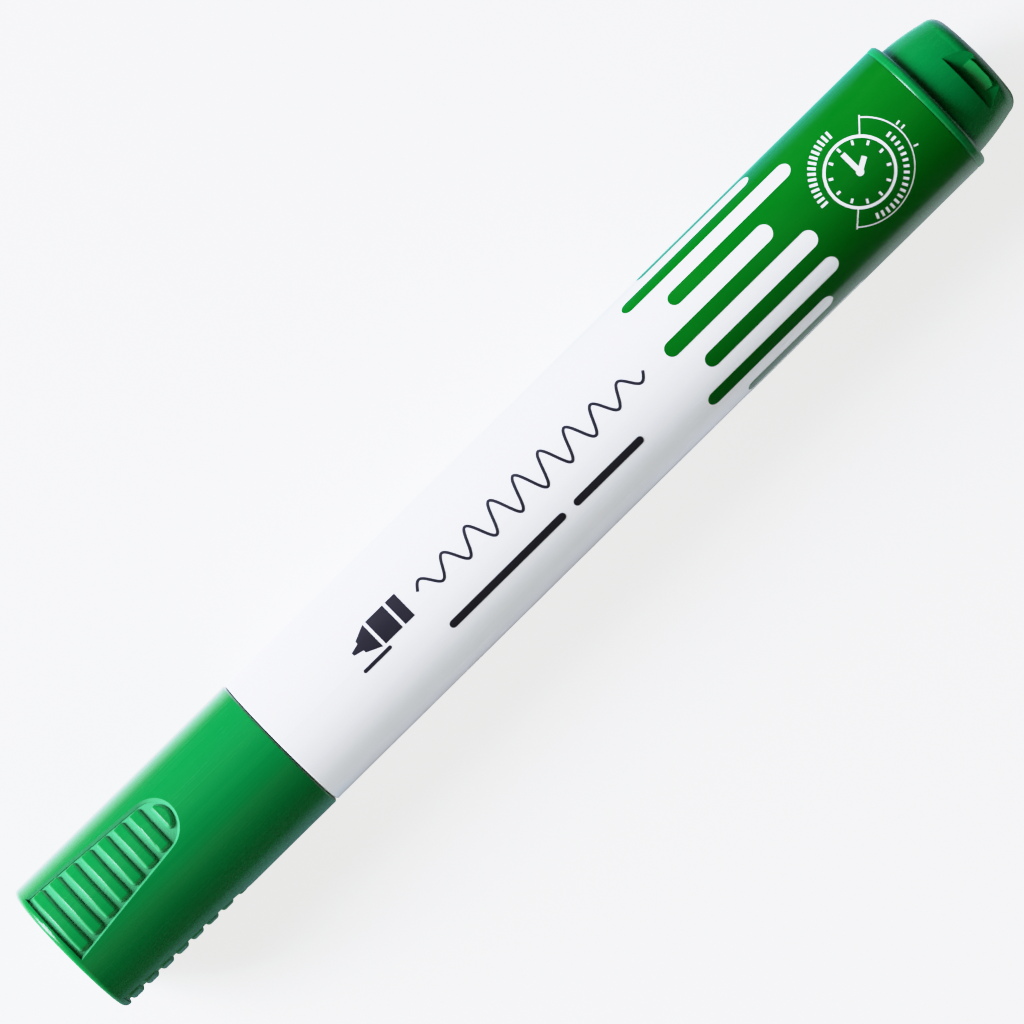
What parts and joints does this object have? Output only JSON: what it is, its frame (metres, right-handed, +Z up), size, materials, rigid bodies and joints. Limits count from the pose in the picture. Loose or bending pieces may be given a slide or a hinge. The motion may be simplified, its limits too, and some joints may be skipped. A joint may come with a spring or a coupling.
{
  "type": "whiteboard marker",
  "caption": "Round-barrelled whiteboard marker with a green pull-off cap, a bullet nib fed by a fibre reservoir, and a pry-off end plug.",
  "frame": {"origin": "middle of the closed marker's length, on the line it rests on; the long axis is 8.5 mm above it", "axes": "+X along the long axis from the cap to the end plug, +Z up through the printed clock face"},
  "size_m": [0.1344, 0.017, 0.017],
  "materials": {
    "green_plastic": "glossy moulded polypropylene, coloured through",
    "white_plastic": "glossy moulded polypropylene, opaque white",
    "natural_plastic": "uncoloured soft polyethylene",
    "nib_fibre": "bonded acrylic fibre wet with green ink",
    "reservoir_fibre": "polyester fibre bundle soaked in green ink",
    "reservoir_film": "thin clear film round the fibre bundle",
    "print_green": "glossy printed green ink",
    "print_dark": "printed near-black ink"
  },
  "bodies": {
    "body": {"barrel": "white_plastic", "front_section": "white_plastic", "nib": "nib_fibre", "reservoir_core": "reservoir_fibre", "reservoir_wrap": "reservoir_film", "pattern_print": "print_green", "marks_print": "print_dark"},
    "cap": {"cap_shell": "green_plastic", "inner_cap": "natural_plastic"},
    "plug": {"end_plug": "green_plastic"}
  },
  "joints": [
    {"name": "cap_pull", "type": "slide", "parent": "body", "child": "cap", "axis": [-1, 0, 0], "range_m": [0, 0.045]},
    {"name": "plug_pull", "type": "slide", "parent": "body", "child": "plug", "axis": [1, 0, 0], "range_m": [0, 0.025]}
  ]
}
